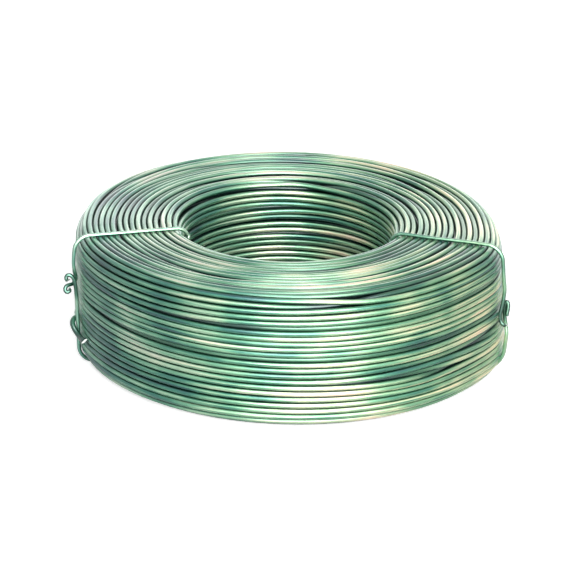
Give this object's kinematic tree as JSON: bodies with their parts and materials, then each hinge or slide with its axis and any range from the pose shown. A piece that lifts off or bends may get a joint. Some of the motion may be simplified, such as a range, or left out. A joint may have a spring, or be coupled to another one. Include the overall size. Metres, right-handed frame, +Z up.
{
  "type": "coil of wire",
  "caption": "Round coil of tie wire wound in a thick ring with an open bore, lying flat and held by two twisted wire ties.",
  "frame": {"origin": "centre of the coil's base, on its axis", "axes": "+Z up along the bore, +X towards the tie on the right of the picture"},
  "size_m": [0.1287, 0.1252, 0.0407],
  "materials": {
    "coil_wire": "drawn and galvanised, satin, with a green cast",
    "tie_wire": "drawn and galvanised, satin"
  },
  "bodies": {
    "root": {"wire_coil": "coil_wire", "tie_left": "tie_wire", "tie_right": "tie_wire"}
  },
  "joints": []
}
